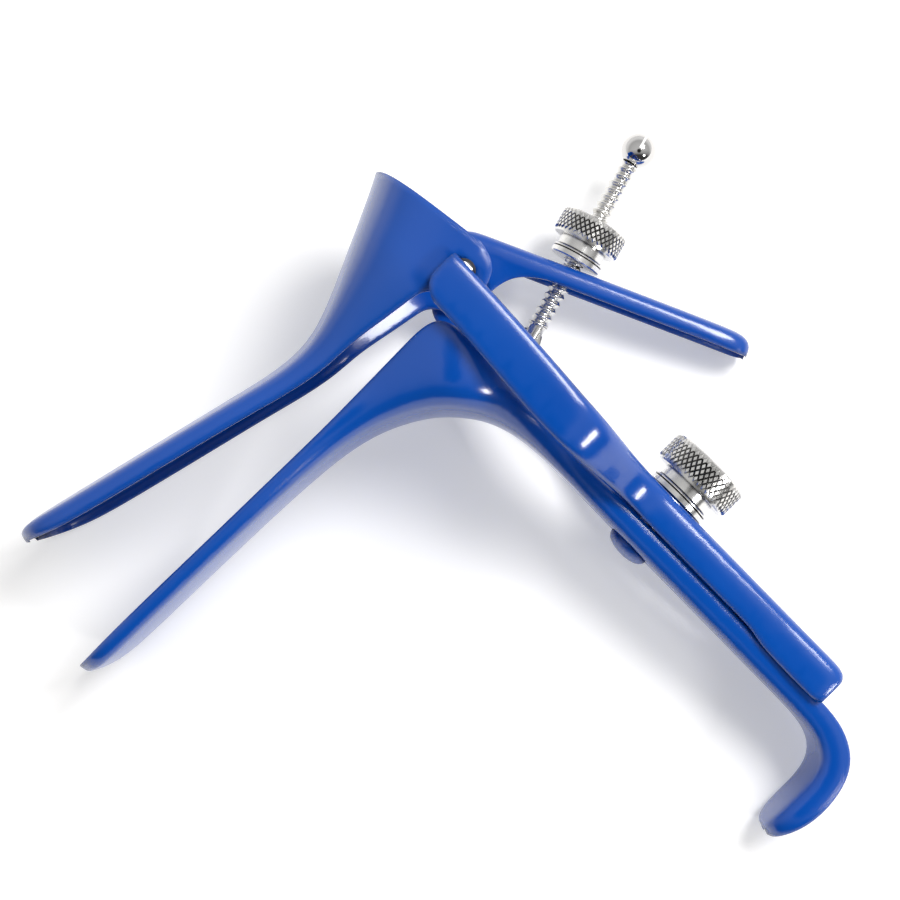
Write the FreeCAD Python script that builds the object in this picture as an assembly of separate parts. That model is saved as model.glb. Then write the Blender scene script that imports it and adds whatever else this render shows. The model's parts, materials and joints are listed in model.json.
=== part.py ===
import FreeCAD, Part
import math
import os

Vector = FreeCAD.Vector

# A bivalve speculum, in millimetres, drawn in the instrument's own axes:
# X runs from the blade tips (minus) to the user (plus), Y from the handle up to
# the upper blade, Z towards the instrument's left side.
# At the end every piece is turned once, into the way the instrument lies on a table.

# Sheet the blades, the yoke and the lever are pressed from.
SHEET = 1.3
YOKE_SHEET = 1.4
TIP_SHEET = 0.8

# A lip is drawn as three flats: how far they step in and out, as shares of the sheet.
LIP_INSET = 0.25
LIP_RISE = 0.43

# How many rows of control points one face of a pressed piece spans, and how far a
# cutting block reaches past the sheet it trims.
FACE_ROWS = 3
CUT_REACH = 20.0

# Blade hinge, one each side, on an axis along Z.
HINGE_X = -1.0
HINGE_Y = 0.2
HINGE_PIN_DIAMETER = 3.4
HINGE_HEAD_DIAMETER = 6.4
HINGE_HEAD_HEIGHT = 1.0
HINGE_WASHER_DIAMETER = 4.5
RUNNING_CLEARANCE = 0.08
SIDE_CLEARANCE = 0.15

# Side walls at the hinge, measured from the middle plane.
ARM_INSIDE = 22.9
ARM_WALL = 1.2
EAR_GAP = 1.0
ARM_OUTSIDE = ARM_INSIDE + ARM_WALL
EAR_OUTSIDE = ARM_INSIDE - EAR_GAP

# Handle and yoke stem, which slide on each other.
HANDLE_HALF_WIDTH = 8.0
HANDLE_FACE_X = -13.5
FACE_SKIM = 0.02
HANDLE_SKIN_X = HANDLE_FACE_X - FACE_SKIM
HANDLE_FLAT_TOP_Y = -64.0
HANDLE_FLAT_BOTTOM_Y = -96.0
STEM_HALF_WIDTH = 9.7
STEM_FACE_X = -1.3
STEM_BOTTOM_Y = -103.5
FLOOR_HALF_WIDTH = 8.8
FLOOR_END_X = -7.9
FLOOR_DEPTH = 5.0
FLOOR_LIFT = 0.15
YOKE_TRAVEL = 22.0
ARM_TRIM_Y = -8.0

# Clamp stud through handle and yoke, on an axis along X.
STUD_Y = -58.3
STUD_HEAD_DIAMETER = 8.9
STUD_HEAD_HEIGHT = 2.3
STUD_SEAT_DIAMETER = 9.7
STUD_SHANK_DIAMETER = 4.0
STUD_END_X = 8.7
SLOT_WIDTH = 4.9
SLOT_PLAY = 0.4

# Thread shared by the stud and the lever screw.
THREAD_DIAMETER = 4.3
THREAD_BORE_DIAMETER = 4.5

# Handle nut and the loose washer under it.
HANDLE_WASHER_DIAMETER = 13.1
HANDLE_WASHER_THICKNESS = 1.9
HANDLE_NECK_DIAMETER = 11.7
HANDLE_NECK_LENGTH = 2.1
HANDLE_KNURL_DIAMETER = 17.1
HANDLE_KNURL_LENGTH = 6.1

# Lever screw, hung on the outside of the right arm and passing through the lever.
SCREW_PIVOT_X = -3.2
SCREW_PIVOT_Y = -17.9
SCREW_ANGLE = 15.6
SCREW_LENGTH = 50.9
SCREW_THREAD_START = 9.5
SCREW_EYE_RADIUS = 4.4
SCREW_EYE_THICKNESS = 2.6
SCREW_EYE_GAP = 1.0
SCREW_Z = -(ARM_OUTSIDE + SCREW_EYE_GAP + SCREW_EYE_THICKNESS / 2.0)
SCREW_NECK_START = 3.0
SCREW_NECK_DIAMETER = 3.6
SCREW_TENON_DIAMETER = 2.6
PIVOT_PIN_DIAMETER = 3.0
PIVOT_HEAD_DIAMETER = 5.6
PIVOT_HEAD_HEIGHT = 1.1
PIVOT_SPACER_DIAMETER = 6.0
BALL_DIAMETER = 7.2
BALL_SLOT_WIDTH = 0.9
BALL_SLOT_DEPTH = 1.1

# Lever nut and the loose washer under it.
LEVER_WASHER_DIAMETER = 11.2
LEVER_WASHER_THICKNESS = 1.9
LEVER_NECK_DIAMETER = 10.1
LEVER_NECK_LENGTH = 2.2
LEVER_KNURL_DIAMETER = 14.5
LEVER_KNURL_LENGTH = 5.4
LEVER_WASHER_AT = 24.25

# Thumb lever: a pressed tray carried by the right ear of the upper blade.
LEVER_X = 22.4
LEVER_Y = -19.4
LEVER_ANGLE = -65.2
LEVER_INSIDE = EAR_OUTSIDE - SHEET
LEVER_WIDTH = 12.3
LEVER_DEPTH = 4.0
LEVER_SLOT_LENGTH = 11.0
LEVER_SLOT_WIDTH = 5.3
LEVER_SLOT_AT = -8.6
PLATE_INSET = 0.03

# How the instrument lies on a table, on its right side: two small turns, then a shift
# that puts the middle of its footprint at the origin and its lowest point on the table.
LIE_TURN_X = 10.86
LIE_TURN_Y = -10.57
LIE_SHIFT = (24.70, 45.754, 34.404)


def even_knots(count, degree):
    """Knots and their counts for an even curve that starts and ends on its points."""
    knots = list(range(count - degree + 1))
    counts = [degree + 1] + [1] * (count - degree - 1) + [degree + 1]
    return knots, counts


def spline(points):
    """Even cubic curve drawn by control points, or the straight line between two."""
    degree = min(3, len(points) - 1)
    knots, counts = even_knots(len(points), degree)
    curve = Part.BSplineCurve()
    curve.buildFromPolesMultsKnots(points, counts, knots, False, degree)
    return curve


def skin(rows):
    """Smooth surface drawn by rows of control points, as faces of a few rows each."""
    across = min(3, len(rows[0]) - 1)
    row_knots, row_counts = even_knots(len(rows), 3)
    knots, counts = even_knots(len(rows[0]), across)
    knotting = (row_counts, counts, row_knots, knots, False, False, 3, across)
    faces = []
    last = row_knots[-1]
    for start in range(0, last, FACE_ROWS):
        surface = Part.BSplineSurface()
        surface.buildFromPolesMultsKnots(rows, *knotting)
        surface.segment(start, min(start + FACE_ROWS, last), knots[0], knots[-1])
        faces.append(surface.toShape())
    return faces


def offset_outline(points, distance):
    """Control points moved to the left of their path by an even distance."""
    moved = []
    last = len(points) - 1
    for index, point in enumerate(points):
        before = points[max(index - 1, 0)]
        after = points[min(index + 1, last)]
        first = (point[0] - before[0], point[1] - before[1])
        second = (after[0] - point[0], after[1] - point[1])
        if index == 0:
            first = second
        if index == last:
            second = first
        turn_1 = math.atan2(first[1], first[0])
        turn_2 = math.atan2(second[1], second[0])
        half = 0.5 * math.atan2(math.sin(turn_2 - turn_1), math.cos(turn_2 - turn_1))
        middle = turn_1 + half
        reach = distance / math.cos(half)
        moved.append((point[0] - reach * math.sin(middle), point[1] + reach * math.cos(middle)))
    return moved


def channel_outline(half_width, crown, corner, depth):
    """Outside of a channel: arched back, round corners, straight walls, left to right."""
    flat = half_width - corner
    for step in range(12):
        lean = 2.0 * math.atan(crown / flat)
        flat = half_width - corner * (1.0 - math.sin(lean))
    foot = crown + corner * math.cos(lean)
    half = [(0.50 * flat, 0.25 * crown)]
    half.append((flat, crown))
    for step in (1, 2):
        around = lean + (math.pi / 2.0 - lean) * step / 3.0
        reach = 1.03 * corner
        u = half_width - corner + reach * math.sin(around)
        half.append((u, foot - reach * math.cos(around)))
    for step in range(3):
        half.append((half_width, foot + (depth - foot) * step / 2.0))
    left = [(-u, v) for u, v in reversed(half)]
    return left + [(0.0, 0.0)] + half


def channel_runs(station, middle_z):
    """Section of a sheet-metal channel: outside, lip, inside and lip, as runs of points."""
    x, y, angle, half_width, crown, corner, depth, sheet = station
    along_x = math.cos(math.radians(angle))
    along_y = math.sin(math.radians(angle))

    def place(points):
        return [Vector(x + v * along_x, y + v * along_y, middle_z + u) for u, v in points]

    outside = channel_outline(half_width, crown, corner, depth)
    inside = offset_outline(outside, sheet)
    inside.reverse()
    inner = half_width - sheet
    lip = depth + LIP_RISE * sheet
    inset = LIP_INSET * sheet
    right = [(half_width, depth), (half_width - inset, lip), (inner + inset, lip), (inner, depth)]
    left = [(-u, v) for u, v in reversed(right)]
    runs = [outside]
    runs += [right[step:step + 2] for step in range(3)]
    runs.append(inside)
    runs += [left[step:step + 2] for step in range(3)]
    return [place(run) for run in runs]


def channel(stations, middle_z=0.0):
    """Smooth sheet-metal channel with eased lips, led by a row of sections."""
    sections = [channel_runs(station, middle_z) for station in stations]
    faces = []
    for side in range(len(sections[0])):
        faces += skin([section[side] for section in sections])
    for section in (sections[0], sections[-1]):
        edges = [spline(run).toShape() for run in section]
        faces.append(Part.Face(Part.Wire(edges)))
    shell = Part.makeShell(faces)
    shell.sewShape()
    solid = Part.makeSolid(shell)
    if solid.Volume < 0:
        solid.reverse()
    return solid


def cylinder(diameter, start, end):
    """Round bar from one point to another."""
    axis = end.sub(start)
    return Part.makeCylinder(diameter / 2.0, axis.Length, start, axis)


def turned(profile, start, axis):
    """Solid turned about an axis from (distance along, radius) points."""
    points = [Vector(r, 0, s) for s, r in profile]
    points.append(points[0])
    face = Part.Face(Part.makePolygon(points))
    solid = face.revolve(Vector(0, 0, 0), Vector(0, 0, 1), 360)
    turn = FreeCAD.Rotation(Vector(0, 0, 1), axis)
    solid.Placement = FreeCAD.Placement(start, turn)
    return solid


# Half outline of the flat neck between the eye and the rod of the lever screw: distance
# from the pivot, and half width.
SCREW_EYE_BLEND = [
    (0.0, 4.3),
    (2.4, 4.0),
    (5.0, 2.7),
    (7.6, 2.0),
]

# Sections from the tip of the lower blade, along its back, round the flare, down the
# handle and round the hook. Each is: x, y of the back, direction the walls point,
# half width, rise of the arch, corner radius, wall depth, sheet.
LOWER_SECTIONS = [
    (-103.6, -2.8, 100, 3.4, 0.10, 1.0, 1.1, TIP_SHEET),
    (-103.4, -3.2, 99, 7.4, 0.20, 1.2, 1.5, 0.9),
    (-102.0, -4.4, 98, 12.2, 0.50, 1.6, 2.4, 1.0),
    (-98.8, -5.7, 95, 16.3, 0.90, 2.1, 3.4, 1.2),
    (-93.0, -6.2, 91, 17.6, 1.20, 2.6, 4.0, SHEET),
    (-80.0, -6.3, 90, 17.7, 1.25, 2.6, 4.0, SHEET),
    (-63.0, -6.6, 90, 17.5, 1.30, 2.7, 4.1, SHEET),
    (-50.0, -7.0, 88, 16.4, 1.35, 2.9, 4.5, SHEET),
    (-40.0, -7.8, 82, 15.4, 1.40, 3.6, 5.3, SHEET),
    (-32.0, -9.7, 71, 15.8, 1.40, 4.5, 7.8, SHEET),
    (-25.5, -13.0, 57, 18.2, 1.30, 5.9, 13.0, SHEET),
    (-22.0, -15.6, 49.5, 19.8, 1.15, 6.5, 18.0, SHEET),
    (-19.8, -17.9, 43, 20.0, 1.00, 6.4, 15.3, SHEET),
    (-16.8, -21.5, 31, 18.4, 0.85, 6.0, 9.2, SHEET),
    (-14.5, -27.0, 16, 12.4, 0.50, 4.3, 5.0, SHEET),
    (-13.6, -34.0, 3, 9.0, 0.25, 2.9, 3.9, SHEET),
    (HANDLE_SKIN_X, -42.0, 0, 8.1, 0.10, 2.4, 4.0, SHEET),
    (HANDLE_SKIN_X, -50.0, 0, HANDLE_HALF_WIDTH, 0.0, 2.3, 4.3, SHEET),
    (HANDLE_SKIN_X, -62.0, 0, HANDLE_HALF_WIDTH, 0.0, 2.3, 4.5, SHEET),
    (HANDLE_SKIN_X, -80.0, 0, HANDLE_HALF_WIDTH, 0.0, 2.3, 4.5, SHEET),
    (HANDLE_SKIN_X, -95.0, 0, HANDLE_HALF_WIDTH, 0.0, 2.3, 4.5, SHEET),
    (HANDLE_SKIN_X, -103.0, 0, HANDLE_HALF_WIDTH, 0.0, 2.3, 4.6, SHEET),
    (-14.0, -108.5, -18, HANDLE_HALF_WIDTH, 0.12, 2.3, 5.1, SHEET),
    (-16.8, -112.6, -47, HANDLE_HALF_WIDTH, 0.16, 2.3, 5.7, SHEET),
    (-22.0, -113.4, -80, HANDLE_HALF_WIDTH, 0.16, 2.3, 5.4, SHEET),
    (-27.0, -113.3, -93, 8.1, 0.16, 2.2, 4.8, SHEET),
    (-30.6, -113.4, -100, 6.9, 0.14, 1.8, 3.4, 1.1),
    (-32.4, -113.8, -106, 4.8, 0.10, 1.4, 2.3, 0.9),
    (-32.7, -114.2, -110, 2.2, 0.06, 1.0, 1.6, TIP_SHEET),
]

# The same for the upper blade, from its tip back to the rim of the flare.
UPPER_SECTIONS = [
    (-94.5, 23.7, -98, 3.4, 0.10, 1.0, 1.1, TIP_SHEET),
    (-94.3, 24.1, -99, 7.4, 0.20, 1.2, 1.5, 0.9),
    (-92.9, 24.6, -101, 12.2, 0.55, 1.6, 2.5, 1.0),
    (-89.7, 24.75, -103, 16.3, 1.05, 2.3, 3.8, 1.2),
    (-84.0, 23.5, -102.4, 17.6, 1.40, 2.8, 4.7, SHEET),
    (-72.0, 20.8, -102.4, 17.7, 1.55, 2.9, 4.9, SHEET),
    (-57.0, 17.3, -102.4, 17.3, 1.60, 3.0, 5.0, SHEET),
    (-46.0, 14.8, -102.4, 16.2, 1.65, 3.1, 5.1, SHEET),
    (-38.0, 12.95, -102.2, 15.4, 1.70, 3.5, 5.4, SHEET),
    (-30.0, 12.6, -101, 15.6, 1.90, 4.4, 6.6, SHEET),
    (-23.0, 15.0, -99, 17.2, 2.10, 6.4, 9.0, SHEET),
    (-16.0, 18.3, -95, EAR_OUTSIDE - 2.3, 2.30, 9.6, 13.6, SHEET),
    (-10.5, 20.9, -91.5, EAR_OUTSIDE - 0.5, 2.45, 12.0, 17.0, SHEET),
    (-7.4, 22.35, -90, EAR_OUTSIDE, 2.50, 13.0, 19.2, SHEET),
    (-5.2, 23.4, -88.4, EAR_OUTSIDE, 2.50, 13.5, 26.8, SHEET),
    (-2.8, 24.55, -86.7, EAR_OUTSIDE, 2.50, 13.8, 29.0, SHEET),
    (-0.6, 25.65, -84.9, EAR_OUTSIDE, 2.50, 14.0, 29.3, SHEET),
    (1.0, 26.5, -83, EAR_OUTSIDE, 2.50, 14.0, 28.2, SHEET),
    (1.5, 26.8, -82, EAR_OUTSIDE, 2.50, 14.0, 24.6, SHEET),
]

def arm_spread(part):
    """Half width of the yoke, part of the way from its stem to its arms."""
    return STEM_HALF_WIDTH + part * (ARM_OUTSIDE - STEM_HALF_WIDTH)


# Sections of the yoke from its closed bottom up the stem and along the two arms, in the
# same form. The walls point towards the blades.
YOKE_SECTIONS = [
    (-2.6, STEM_BOTTOM_Y, 180, 9.8, 0.15, 1.8, 5.6, 1.2),
    (-1.9, -103.1, 180, 10.1, 0.15, 2.1, 6.5, YOKE_SHEET),
    (-1.45, -102.1, 180, 10.3, 0.15, 2.3, 7.2, YOKE_SHEET),
    (STEM_FACE_X, -100.6, 180, 10.3, 0.15, 2.4, 7.45, YOKE_SHEET),
    (STEM_FACE_X, -97.0, 180, 10.1, 0.15, 2.4, 7.5, YOKE_SHEET),
    (STEM_FACE_X, -90.0, 180, STEM_HALF_WIDTH, 0.15, 2.4, 7.4, YOKE_SHEET),
    (STEM_FACE_X, -87.0, 180, STEM_HALF_WIDTH, 0.15, 2.4, 7.1, YOKE_SHEET),
    (STEM_FACE_X, -84.5, 180, STEM_HALF_WIDTH, 0.15, 2.4, 6.5, YOKE_SHEET),
    (STEM_FACE_X, -80.0, 180, STEM_HALF_WIDTH, 0.15, 2.4, 6.45, YOKE_SHEET),
    (STEM_FACE_X, -68.0, 180, STEM_HALF_WIDTH, 0.15, 2.4, 6.45, YOKE_SHEET),
    (STEM_FACE_X, -58.0, 180, STEM_HALF_WIDTH, 0.15, 2.4, 6.45, YOKE_SHEET),
    (STEM_FACE_X, -54.5, 180, arm_spread(0.014), 0.15, 2.5, 6.4, YOKE_SHEET),
    (STEM_FACE_X, -51.5, 180, arm_spread(0.07), 0.15, 2.7, 6.4, YOKE_SHEET),
    (STEM_FACE_X, -48.5, 180, arm_spread(0.20), 0.15, 2.9, 6.5, 1.6),
    (STEM_FACE_X, -45.5, 180, arm_spread(0.41), 0.15, 3.0, 6.8, 1.8),
    (-1.25, -42.5, 180, arm_spread(0.64), 0.15, 3.0, 7.3, 1.8),
    (-1.2, -39.5, 180, arm_spread(0.83), 0.15, 2.8, 7.8, 1.7),
    (-1.1, -36.5, 180, arm_spread(0.945), 0.15, 2.5, 8.3, 1.5),
    (-1.0, -33.0, 180, arm_spread(0.993), 0.15, 2.1, 8.7, YOKE_SHEET),
    (-0.75, -28.0, 180, ARM_OUTSIDE, 0.15, 1.7, 8.9, YOKE_SHEET),
    (-0.3, -20.0, 180, ARM_OUTSIDE, 0.15, 1.5, 8.95, YOKE_SHEET),
    (0.2, -10.0, 180, ARM_OUTSIDE, 0.15, 1.5, 8.65, YOKE_SHEET),
    (0.45, -3.0, 180, ARM_OUTSIDE, 0.15, 1.5, 8.6, YOKE_SHEET),
    (0.5, 6.0, 180, ARM_OUTSIDE, 0.15, 1.5, 8.6, YOKE_SHEET),
]

# Half of the opening between the yoke's arms, from the middle up: height, and half width
# as a share of its width between the arms.
YOKE_OPENING = [
    (-49.6, 0.0),
    (-49.6, 0.09),
    (-49.2, 0.22),
    (-47.6, 0.375),
    (-45.0, 0.507),
    (-42.0, 0.655),
    (-39.0, 0.795),
    (-36.5, 0.89),
    (-34.0, 0.96),
    (-31.5, 1.0),
    (-27.5, 1.0),
    (-22.0, 1.0),
    (-14.0, 1.0),
    (0.0, 1.0),
    (10.0, 1.0),
]

# Outline of the arms' upper ends in the side view, from the blade side round to the user.
ARM_END = [
    (-10.8, -12.0),
    (-10.2, -7.0),
    (-9.6, -3.6),
    (-9.0, -0.7),
    (-8.1, 1.9),
    (-6.4, 3.4),
    (-4.6, 3.75),
    (-2.5, 3.7),
    (-0.7, 3.7),
    (0.55, 3.5),
    (0.75, 2.2),
    (1.2, 0.0),
    (2.5, -6.0),
    (4.0, -12.0),
]

# Sections of the thumb lever's tray, along its back from the ear to the round end:
# distance along, how far the back is drawn in, half width, rise, corner, depth, sheet.
LEVER_SECTIONS = [
    (-32.2, 1.9, 4.0, 0.10, 1.2, 1.9, 0.9),
    (-31.9, 1.2, 4.8, 0.15, 1.6, 2.7, 1.1),
    (-31.0, 0.4, 5.6, 0.24, 2.0, 3.5, SHEET),
    (-29.0, 0.0, 6.15, 0.30, 2.2, LEVER_DEPTH, SHEET),
    (-24.0, 0.0, 6.15, 0.30, 2.2, LEVER_DEPTH, SHEET),
    (-12.0, 0.0, 6.15, 0.30, 2.2, LEVER_DEPTH, SHEET),
    (4.0, 0.0, 6.15, 0.30, 2.2, LEVER_DEPTH, SHEET),
    (16.0, 0.0, 6.15, 0.36, 2.2, LEVER_DEPTH, SHEET),
    (23.0, 0.0, 6.1, 0.45, 2.3, LEVER_DEPTH, SHEET),
    (27.0, 0.05, 5.9, 0.50, 2.3, 4.0, SHEET),
    (29.6, 0.3, 5.4, 0.50, 2.2, 3.8, SHEET),
    (31.2, 1.2, 4.5, 0.40, 1.8, 2.9, 1.1),
    (31.7, 2.4, 3.4, 0.20, 1.2, 1.7, 0.9),
    (31.8, 3.3, 2.2, 0.08, 0.9, 1.2, TIP_SHEET),
]


# Outline of the plate that joins the right ear to the lever, in the side view: along the
# ear, then where it sits on the tray (distance along the lever, how far inside its back),
# then round the throat back to the ear.
EAR_PLATE_RIM = [
    (1.0, 12.5),
    (4.4, 12.6),
    (6.3, 11.0),
]
EAR_PLATE_SEAT = [
    (-29.3, 1.6),
    (-27.5, 2.5),
    (-4.0, 2.5),
    (-4.0, 3.9),
]
EAR_PLATE_THROAT = [
    (15.0, -13.3),
    (13.6, -10.9),
    (11.9, -8.3),
    (9.6, -5.7),
    (6.8, -4.3),
    (4.2, -3.95),
    (1.0, -3.9),
]


def lower_blade():
    """Lower blade, flare, handle and hook of one sheet, faced flat and drilled."""
    shape = channel(LOWER_SECTIONS)
    tall = HANDLE_FLAT_TOP_Y - HANDLE_FLAT_BOTTOM_Y
    corner = Vector(HANDLE_FACE_X - SHEET, HANDLE_FLAT_BOTTOM_Y, -HANDLE_HALF_WIDTH)
    shape = shape.cut(Part.makeBox(SHEET, tall, 2.0 * HANDLE_HALF_WIDTH, corner))
    start = Vector(HANDLE_FACE_X - SHEET, STUD_Y, 0)
    seat = Vector(HANDLE_FACE_X, STUD_Y, 0)
    end = Vector(HANDLE_FACE_X + 2.0 * SHEET, STUD_Y, 0)
    shape = shape.cut(cylinder(STUD_SEAT_DIAMETER, start, seat))
    return shape.cut(cylinder(STUD_SHANK_DIAMETER, start, end))


def upper_blade():
    """Upper blade with its flare and two ears, drilled for the hinge pins."""
    shape = channel(UPPER_SECTIONS)
    start = Vector(HINGE_X, HINGE_Y, -ARM_OUTSIDE)
    end = Vector(HINGE_X, HINGE_Y, ARM_OUTSIDE)
    return shape.cut(cylinder(HINGE_PIN_DIAMETER + 2 * RUNNING_CLEARANCE, start, end))


def yoke_opening():
    """What is left open between the arms, as one block through the yoke."""
    low = [Vector(-CUT_REACH, y, share * ARM_INSIDE) for y, share in YOKE_OPENING]
    high = [Vector(point.x, point.y, -point.z) for point in reversed(low[1:])]
    edge = spline(high + low).toShape()
    close = Part.makeLine(low[-1], high[0])
    return Part.Face(Part.Wire([edge, close])).extrude(Vector(2.0 * CUT_REACH, 0, 0))


def arm_ends():
    """What is trimmed off the arms' upper ends to round them."""
    wide = 2.0 * ARM_OUTSIDE
    corner = Vector(-CUT_REACH, ARM_TRIM_Y, -wide)
    block = Part.makeBox(2.0 * CUT_REACH, CUT_REACH, 2.0 * wide, corner)
    outline = [Vector(x, y, -wide) for x, y in ARM_END]
    edge = spline(outline).toShape()
    close = Part.makeLine(outline[-1], outline[0])
    keep = Part.Face(Part.Wire([edge, close])).extrude(Vector(0, 0, 2.0 * wide))
    return block.cut(keep)


def slot(width, length, depth, middle, along, through):
    """Round-ended slot as a solid: width and length across, depth through the sheet."""
    half = length / 2.0 - width / 2.0
    side = through.cross(along)
    corners = []
    for go, across in ((-1, -1), (1, -1), (1, 1), (-1, 1)):
        step = Vector(along).multiply(go * half)
        step = step.add(Vector(side).multiply(across * width / 2.0))
        corners.append(middle.add(step))
    back = Vector(through).multiply(-depth / 2.0)
    deep = Vector(through).multiply(depth)
    shape = Part.Face(Part.makePolygon(corners + corners[:1])).extrude(deep)
    shape.translate(back)
    for go in (-1, 1):
        centre = middle.add(Vector(along).multiply(go * half)).add(back)
        shape = shape.fuse(Part.makeCylinder(width / 2.0, depth, centre, through))
    return shape


def yoke():
    """Pressed yoke: closed stem with the clamp slot, opening into two side arms."""
    shape = channel(YOKE_SECTIONS)
    shape = shape.cut(yoke_opening())
    shape = shape.cut(arm_ends())
    top = STUD_Y + SLOT_WIDTH / 2.0
    bottom = STUD_Y - YOKE_TRAVEL - SLOT_WIDTH / 2.0 - SLOT_PLAY
    middle = Vector(STEM_FACE_X - YOKE_SHEET / 2.0, (top + bottom) / 2.0, 0)
    size = (SLOT_WIDTH, top - bottom, 4.0 * YOKE_SHEET)
    shape = shape.cut(slot(*size, middle, Vector(0, 1, 0), Vector(1, 0, 0)))
    start = Vector(SCREW_PIVOT_X, SCREW_PIVOT_Y, -ARM_OUTSIDE - ARM_WALL)
    end = Vector(SCREW_PIVOT_X, SCREW_PIVOT_Y, -ARM_INSIDE + ARM_WALL)
    shape = shape.cut(cylinder(PIVOT_PIN_DIAMETER, start, end))
    corner = Vector(FLOOR_END_X, STEM_BOTTOM_Y + FLOOR_LIFT, -FLOOR_HALF_WIDTH)
    floor = Part.makeBox(FLOOR_DEPTH, YOKE_SHEET, 2.0 * FLOOR_HALF_WIDTH, corner)
    return shape.fuse(floor)


def domed_pin(shank, length, head, height, start, axis):
    """Pin with a low domed head at its start, the shank running on along the axis."""
    radius = head / 2.0
    profile = [(-height, 0.0)]
    for step in range(1, 6):
        turn = math.radians(18.0 * step)
        profile.append((-height * math.cos(turn), radius * math.sin(turn)))
    profile.append((0.0, shank / 2.0))
    profile.append((length, shank / 2.0))
    profile.append((length, 0.0))
    return turned(profile, start, axis)


def hinge_pins():
    """Two pins welded to the arms' inner faces, headed over inside the ears."""
    inside = EAR_OUTSIDE - SHEET - SIDE_CLEARANCE
    pins = []
    for side in (-1, 1):
        start = Vector(HINGE_X, HINGE_Y, side * inside)
        reach = ARM_INSIDE - inside
        head = (HINGE_HEAD_DIAMETER, HINGE_HEAD_HEIGHT)
        pins.append(domed_pin(HINGE_PIN_DIAMETER, reach, *head, start, Vector(0, 0, side)))
    return Part.makeCompound(pins)


def hinge_washers():
    """Two washers that keep the ears off the arms."""
    low = EAR_OUTSIDE + SIDE_CLEARANCE
    washers = []
    for side in (-1, 1):
        start = Vector(HINGE_X, HINGE_Y, side * low)
        end = Vector(HINGE_X, HINGE_Y, side * ARM_INSIDE)
        ring = cylinder(HINGE_WASHER_DIAMETER, start, end)
        washers.append(ring.cut(cylinder(HINGE_PIN_DIAMETER, start, end)))
    return Part.makeCompound(washers)


def clamp_stud():
    """Domed rivet head on the handle and the plain-drawn screw shank for the nut."""
    reach = STUD_END_X - HANDLE_FACE_X
    profile = [(-STUD_HEAD_HEIGHT, 0.0)]
    radius = STUD_HEAD_DIAMETER / 2.0
    for step in range(1, 6):
        turn = math.radians(15.0 * step)
        profile.append((-STUD_HEAD_HEIGHT * math.cos(turn) ** 0.8, radius * math.sin(turn)))
    profile.append((-0.3, radius))
    profile.append((0.0, radius))
    profile.append((0.0, STUD_SHANK_DIAMETER / 2.0))
    profile.append((SHEET + 0.3, STUD_SHANK_DIAMETER / 2.0))
    profile.append((SHEET + 0.6, THREAD_DIAMETER / 2.0))
    profile.append((reach - 0.6, THREAD_DIAMETER / 2.0))
    profile.append((reach, THREAD_DIAMETER / 2.0 - 0.5))
    profile.append((reach, 0.0))
    return turned(profile, Vector(HANDLE_FACE_X, STUD_Y, 0), Vector(1, 0, 0))


def ring_washer(diameter, thickness, start, axis):
    """Turned washer with a shallow groove round its edge."""
    radius = diameter / 2.0
    bore = THREAD_BORE_DIAMETER / 2.0
    profile = [(0.0, bore)]
    profile.append((0.0, radius - 0.25))
    profile.append((0.25, radius))
    profile.append((0.62 * thickness, radius))
    profile.append((0.70 * thickness, radius - 0.3))
    profile.append((0.78 * thickness, radius))
    profile.append((thickness - 0.2, radius))
    profile.append((thickness, radius - 0.2))
    profile.append((thickness, bore))
    return turned(profile, start, axis)


def knurled_nut(neck, neck_length, knurl, knurl_length, start, axis):
    """Nut with a smooth neck and a wide gripping head, bored for the thread."""
    bore = THREAD_BORE_DIAMETER / 2.0
    radius = knurl / 2.0
    end = neck_length + knurl_length
    profile = [(0.0, bore)]
    profile.append((0.0, neck / 2.0 - 0.2))
    profile.append((0.2, neck / 2.0))
    profile.append((neck_length, neck / 2.0))
    profile.append((neck_length, radius - 0.45))
    profile.append((neck_length + 0.45, radius))
    profile.append((end - 0.6, radius))
    profile.append((end - 0.15, radius - 0.45))
    profile.append((end, radius - 1.2))
    profile.append((end, bore + 0.5))
    profile.append((end - 0.5, bore))
    return turned(profile, start, axis)


def handle_washer():
    """Loose washer between the yoke's stem and the handle nut."""
    start = Vector(STEM_FACE_X, STUD_Y, 0)
    return ring_washer(HANDLE_WASHER_DIAMETER, HANDLE_WASHER_THICKNESS, start, Vector(1, 0, 0))


def handle_nut():
    """Nut that clamps the yoke to the handle."""
    start = Vector(STEM_FACE_X + HANDLE_WASHER_THICKNESS, STUD_Y, 0)
    size = (HANDLE_NECK_DIAMETER, HANDLE_NECK_LENGTH, HANDLE_KNURL_DIAMETER, HANDLE_KNURL_LENGTH)
    return knurled_nut(*size, start, Vector(1, 0, 0))


def screw_axis():
    """Direction of the lever screw from its pivot to its ball."""
    turn = math.radians(SCREW_ANGLE)
    return Vector(math.cos(turn), math.sin(turn), 0)


def on_screw(distance):
    """Point on the lever screw's axis, counted from the pivot."""
    pivot = Vector(SCREW_PIVOT_X, SCREW_PIVOT_Y, SCREW_Z)
    return pivot.add(screw_axis().multiply(distance))


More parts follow.
